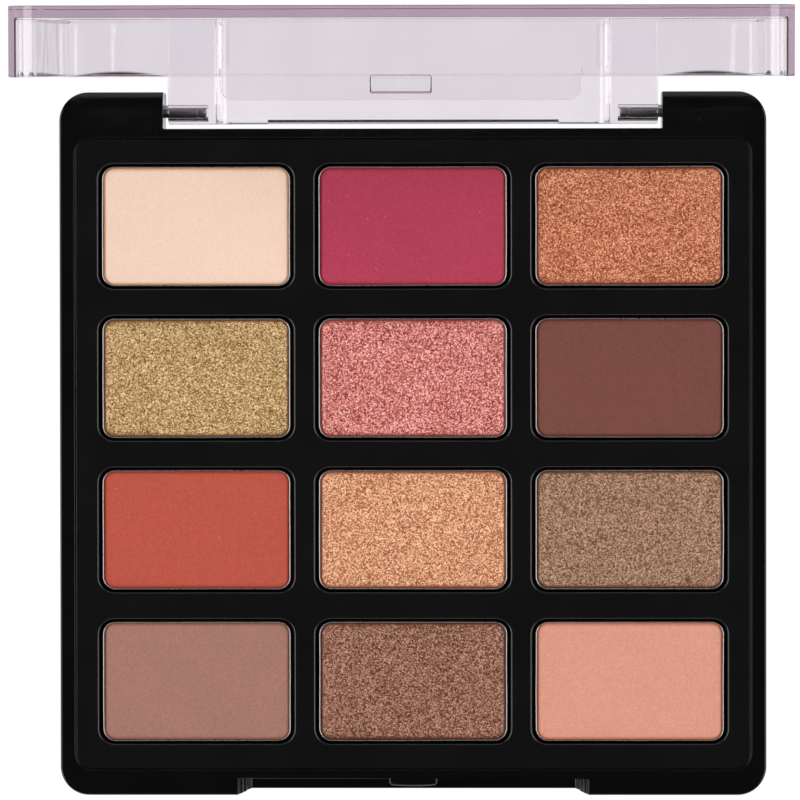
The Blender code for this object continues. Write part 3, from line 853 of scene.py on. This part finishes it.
def straightenCorners(shell):
    # a shading device, not the real shape: with the true corner normals the long thin walls render black
    mesh = shell.data
    normals = [Vector(corner.vector) for corner in mesh.corner_normals]
    sideFace = caseWidth / 2
    for face in mesh.polygons:
        if abs(face.normal.z) > 0.5 or abs(face.normal.y) < 0.05 or abs(face.normal.x) < 0.02:
            continue
        end = math.copysign(1.0, face.normal.y)
        outside = face.center.y * end > caseDepth / 2 - case["corner"]
        outside = outside and face.center.x * face.normal.x > 0
        reach = lid["skirt"] if end < 0 else case["corner"]
        if outside and abs(face.center.x) > sideFace - reach:
            turn = math.radians(lid["endTurn"]) if end < 0 else 0.0
            straight = Vector((math.copysign(math.sin(turn), face.center.x), end * math.cos(turn), 0.0))
            for k in face.loop_indices:
                normals[k] = straight
    mesh.normals_split_custom_set(normals)


def makeLid(material):
    bottom = caseHigh.z + lid["partingGap"]
    top = caseHigh.z + lid["height"]
    ceiling = top - lid["panel"]
    edge, rimEdge, skirt = lid["edge"], lid["rimEdge"], lid["skirt"]
    profile = quarter(-rimEdge, bottom + rimEdge, rimEdge, -90, 0, 8)
    profile += quarter(-edge, top - edge, edge, 0, 90, 5)
    bm = bmesh.new()
    sweepRings(bm, (caseWidth, caseDepth), case["corner"], profile, steps=24)
    shell = pieceFrom(bm, "lidClear")
    soft = lid["innerEdge"]
    cavity = bmesh.new()
    profile = [(0.0, bottom - past), *quarter(-soft, ceiling - soft, soft, 0, 90, 10)]
    inside = (caseWidth - 2 * skirt, caseDepth - 2 * skirt)
    sweepRings(cavity, inside, lid["innerCorner"], profile, steps=14)
    carve(shell, "DIFFERENCE", cavity)

    low = hinge.z - lid["knuckleRadius"]
    wallFront = backY - lid["lobeInset"] - lid["lobeWall"]
    inner = lid["lobeHalf"] - lid["knuckleWidth"]
    lobeWall = bmesh.new()
    prismAlongX(lobeWall, lobeOutline(bottom + past, [(wallFront, low)]), -inner - past, inner + past)
    carve(shell, "UNION", lobeWall)
    back = backY - lid["lobeInset"]
    groove = bmesh.new()
    deep, tall = lid["grooveDepth"], lid["grooveHeight"]
    foot, over = low + lid["grooveFoot"], low + tall + lid["grooveOver"]
    outline = [(back + past, foot), (back, foot), (back - deep, low + tall)]
    outline += [(back - deep + lid["grooveTaper"], over), (back + past, over)]
    prismAlongX(groove, outline, -lid["grooveHalf"], lid["grooveHalf"])
    carve(shell, "DIFFERENCE", groove)
    roundFront = arcPoints((hinge.y, hinge.z), lid["knuckleRadius"], -90, -180, 14)
    for side in (-1, 1):
        knuckle = bmesh.new()
        ends = sorted((side * inner, side * lid["lobeHalf"]))
        outline = lobeOutline(ceiling + lid["panel"] / 2, roundFront)
        prismAlongX(knuckle, outline, *ends, softEnds=lid["knuckleEdge"])
        carve(shell, "UNION", knuckle)
        fillet = bmesh.new()
        radius = lid["knuckleFillet"]
        centre = (side * (inner - radius), wallFront - radius)
        sweep = (0, 90) if side > 0 else (180, 90)
        outline = [*arcPoints(centre, radius, *sweep, 10)]
        sunk = lid["filletSink"]
        outline += [(outline[-1][0], wallFront + sunk), (side * (inner + sunk), wallFront + sunk)]
        outline.append((side * (inner + sunk), outline[0][1]))
        outline = [(x, y, low + lid["filletLift"]) for x, y in outline]
        pushOutline(fillet, outline, (0, 0, ceiling + lid["panel"] / 2 - low))
        carve(shell, "UNION", fillet)

    lip = bmesh.new()
    front = frontY + lid["lipInset"]
    half, lipBottom, corner = lid["lipHalf"], bottom - lid["lipDrop"], lid["lipCorner"]
    outline = [(half, bottom + past), *arcPoints((half - corner, lipBottom + corner), corner, 0, -90, 12)]
    outline += [*arcPoints((corner - half, lipBottom + corner), corner, -90, -180, 12), (-half, bottom + past)]
    pushOutline(lip, [(x, front, z) for x, z in outline], (0, lid["lipThickness"], 0))
    rims = [e for e in lip.edges if abs(e.verts[0].co.y - e.verts[1].co.y) < 1e-8]
    rims = [e for e in rims if min(v.co.z for v in e.verts) < bottom + past / 2]
    bmesh.ops.bevel(lip, geom=rims, offset=lid["lipEdge"], segments=3, profile=0.5, affect="EDGES")
    carve(shell, "UNION", lip)

    for side in (-1, 1):
        bore = bmesh.new()
        start = (side * (lid["lobeHalf"] + past), hinge.y, hinge.z)
        radius = lid["boreRadius"]
        reach = lid["boreDepth"] + past
        turnedAlongX(bore, [(0.0, radius), (reach, radius)], start, -side, 40)
        carve(shell, "DIFFERENCE", bore)

    catch = bmesh.new()
    innerFace = front + lid["lipThickness"]
    plainBox(
        catch,
        (-lid["catchHalf"], innerFace - lid["catchDepth"], bottom - lid["catchHeight"]),
        (lid["catchHalf"], innerFace + past, bottom + lid["catchAbove"]),
    )
    soft = lid["catchEdge"]
    bmesh.ops.bevel(catch, geom=catch.edges[:], offset=soft, segments=4, profile=0.5, affect="EDGES")
    carve(shell, "DIFFERENCE", catch)

    smoothShade(shell)
    settle(shell)
    straightenCorners(shell)
    shell.data.transform(openLid)
    dress(shell, material, "lid", "lid_clear", "lid")


pin = {
    "chamfer": 0.15 * mm,
    "groove": 0.12 * mm,
    "thinner": 0.05 * mm,
    "colour": (0.62, 0.61, 0.65),
}


def pinSteel():
    material, tree, shader = newMaterial("pinSteel")
    shader.inputs["Metallic"].default_value = 1.0
    drawn = noiseAt(tree, objectPlace(tree, stretch=(0.06, 1.0, 1.0)), 0.08 * mm, 4.0)
    stained = noiseAt(tree, objectPlace(tree), 1.2 * mm, 3.0)
    darker = tuple(0.6 * c for c in pin["colour"])
    link(tree, mixColours(tree, stained, darker, pin["colour"]), shader.inputs["Base Color"])
    link(tree, spread(tree, drawn, 0.26, 0.44, 0.3, 0.7), shader.inputs["Roughness"])
    bumpFrom(tree, shader, drawn, 0.003 * mm, 0.5)
    return material


def makePin(name, side, material):
    low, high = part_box(name)
    radius = (high.z - low.z) / 2 - pin["thinner"]
    length = high.x - low.x
    start = (low.x if side > 0 else high.x, hinge.y, hinge.z)
    chamfer, groove = pin["chamfer"], pin["groove"]
    profile = [(0.0, radius - chamfer)]
    profile += [(0.04 * mm, radius - 0.6 * chamfer), (chamfer, radius - 0.1 * chamfer), (1.4 * chamfer, radius)]
    profile += [(0.85 * mm, radius), (1.0 * mm, radius - groove)]
    profile += [(1.2 * mm, radius - groove), (1.35 * mm, radius)]
    profile += [(length - 1.4 * chamfer, radius), (length - chamfer, radius - 0.1 * chamfer)]
    profile += [(length - 0.04 * mm, radius - 0.6 * chamfer), (length, radius - chamfer)]
    bm = bmesh.new()
    turnedAlongX(bm, profile, start, side)
    made = pieceFrom(bm, f"{name}_steel")
    smoothShade(made, 25)
    dress(made, material, "base", "pin_steel", name)


studio = {
    "floorColour": (0.03, 0.03, 0.03),
    "floorGlow": 1.0,
    "softboxes": {
        "softboxLeft": ((-0.62, 0.0, 0.72), 5.3),
        "softboxRight": ((0.62, 0.0, 0.72), 5.3),
        "softboxFront": ((0.0, -0.85, 0.50), 0.8),
        "softboxBack": ((0.0, 0.95, 0.50), 0.8),
    },
    "softboxSize": (0.9, 0.5),
    "floorThroughLid": (0.87, 0.84, 0.87),
    "throughLidShade": (0.965, 1.025),
    "throughLidShadeSize": 9.0 * mm,
    "shadeColour": (0.06, 0.045, 0.045),
    "shadeAcross": (34.5 * mm, 48.0 * mm),  # its inner and outer ends, from the middle
    "shadeReach": (2.95 * mm, 3.25 * mm),  # how far behind the case it fades out
    "shadeBow": 0.7 * mm,
    "horizon": 0.75,
    "zenith": 0.035,
}


def makeFloor():
    bpy.ops.mesh.primitive_circle_add(vertices=96, radius=6.0, fill_type="NGON")
    floor = bpy.context.object
    floor.name = "floor"
    material, tree, shader = newMaterial("floorPale")
    place = objectPlace(tree)
    mottled = noiseAt(tree, place, 0.4, 2.0)
    paler = tuple(1.04 * c for c in studio["floorColour"])
    link(tree, mixColours(tree, mottled, studio["floorColour"], paler), shader.inputs["Base Color"])
    shader.inputs["Roughness"].default_value = 0.9
    shader.inputs["Specular IOR Level"].default_value = 0.1
    # pure white behind the object; in what the clear lid bends and mirrors, a softer white with painted uneven
    # shade
    seen = addNode(tree, "ShaderNodeLightPath").outputs["Is Camera Ray"]
    throughLidShade = noiseAt(tree, objectPlace(tree, stretch=(1.0, 0.35, 1.0)), studio["throughLidShadeSize"], 2.0)
    duller, brighter = [tuple(f * c for c in studio["floorThroughLid"]) for f in studio["throughLidShade"]]
    soft = mixColours(tree, spread(tree, throughLidShade, 0.0, 1.0, 0.3, 0.7), duller, brighter)
    # a painted strip behind the two hinge blocks, not a cast shadow
    # it shows only in what the lid bends and mirrors
    parted = addNode(tree, "ShaderNodeSeparateXYZ")
    link(tree, place, parted.inputs["Vector"])
    away = combineNumbers(tree, "ABSOLUTE", parted.outputs["X"])
    inner, outer = studio["shadeAcross"]
    aside = spread(tree, away, -1.0, 1.0, inner, outer)
    bow = combineNumbers(tree, "MULTIPLY", aside, aside)
    behind = combineNumbers(tree, "MULTIPLY_ADD", bow, studio["shadeBow"], parted.outputs["Y"])
    shade = spread(tree, behind, 1.0, 0.0, *[backY + reach for reach in studio["shadeReach"]])
    reaches = (("GREATER_THAN", away, inner), ("LESS_THAN", away, outer))
    for test, value, limit in (*reaches, ("GREATER_THAN", parted.outputs["Y"], backY - 2.0 * mm)):
        shade = combineNumbers(tree, "MULTIPLY", shade, combineNumbers(tree, test, value, limit))
    soft = mixColours(tree, shade, soft, studio["shadeColour"])
    glow = mixColours(tree, seen, soft, (1.0, 1.0, 1.0))
    link(tree, glow, shader.inputs["Emission Color"])
    shader.inputs["Emission Strength"].default_value = studio["floorGlow"]
    floor.data.materials.append(material)


def addLight(name, place, size, power):
    lamp = bpy.data.lights.new(name, "AREA")
    lamp.shape = "RECTANGLE"
    lamp.size, lamp.size_y = size
    lamp.energy = power
    holder = bpy.data.objects.new(name, lamp)
    bpy.context.scene.collection.objects.link(holder)
    holder.location = place
    holder.rotation_euler = (-Vector(place)).to_track_quat("-Z", "Y").to_euler()


def makeLight():
    for name, (place, power) in studio["softboxes"].items():
        addLight(name, place, studio["softboxSize"], power)
    world = bpy.data.worlds.new("studio")
    bpy.context.scene.world = world
    world.use_nodes = True
    tree = world.node_tree
    place = addNode(tree, "ShaderNodeTexCoord")
    parted = addNode(tree, "ShaderNodeSeparateXYZ")
    link(tree, place.outputs["Generated"], parted.inputs["Vector"])
    ramp = addNode(tree, "ShaderNodeValToRGB")
    link(tree, parted.outputs["Z"], ramp.inputs["Fac"])
    stops = ramp.color_ramp.elements
    stops[0].position, stops[1].position = 0.05, 0.75
    stops[0].color = (*[studio["horizon"]] * 3, 1.0)
    stops[1].color = (*[studio["zenith"]] * 3, 1.0)
    link(tree, ramp.outputs["Color"], tree.nodes["Background"].inputs["Color"])


view = {
    "lens": 278.1,
    "sensor": 36.0,
    "place": (0.01382, 0.02352, 0.8649),
    "turn": (-1.168, 1.041, -0.073),
}


def makeCamera():
    camera = bpy.data.cameras.new("camera")
    camera.lens = view["lens"]
    camera.sensor_width = view["sensor"]
    camera.clip_start = 0.01
    holder = bpy.data.objects.new("camera", camera)
    bpy.context.scene.collection.objects.link(holder)
    holder.location = view["place"]
    holder.rotation_euler = [math.radians(a) for a in view["turn"]]
    bpy.context.scene.camera = holder
    bpy.context.scene.view_settings.view_transform = "Standard"


makeCamera()
makeLight()
makeFloor()
print("studio ready")

makeBaseCase(blackPlastic("caseBlack", plastic["caseColour"], plastic["caseRoughness"]))
print("base case made")
makeTrayInsert(blackPlastic("trayBlack", plastic["trayColour"], plastic["trayRoughness"]))
print("tray insert made")

panFinish = panMetal()
for seed, (spot, place, low, high) in enumerate(wellPlaces(), start=1):
    makePan(spot, place, low, high, panFinish, seed)
    shimmers = powders[spot]["kind"] == "shimmer"
    rise = powder["shimmerHeight" if shimmers else "matteHeight"]
    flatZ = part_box(f"powder_{spot}")[1].z - 3.4 * rise - 2 * powder["swell"]
    finish = shimmerMaterial if shimmers else matteMaterial
    makePowder(spot, place, finish(spot, powders[spot], seed, flatZ), seed)
makeGlueLook()
print("pans and powders made")

makeLid(clearPlastic())
steel = pinSteel()
makePin("hinge_pin_left", -1, steel)
makePin("hinge_pin_right", 1, steel)
print("lid and pins made")
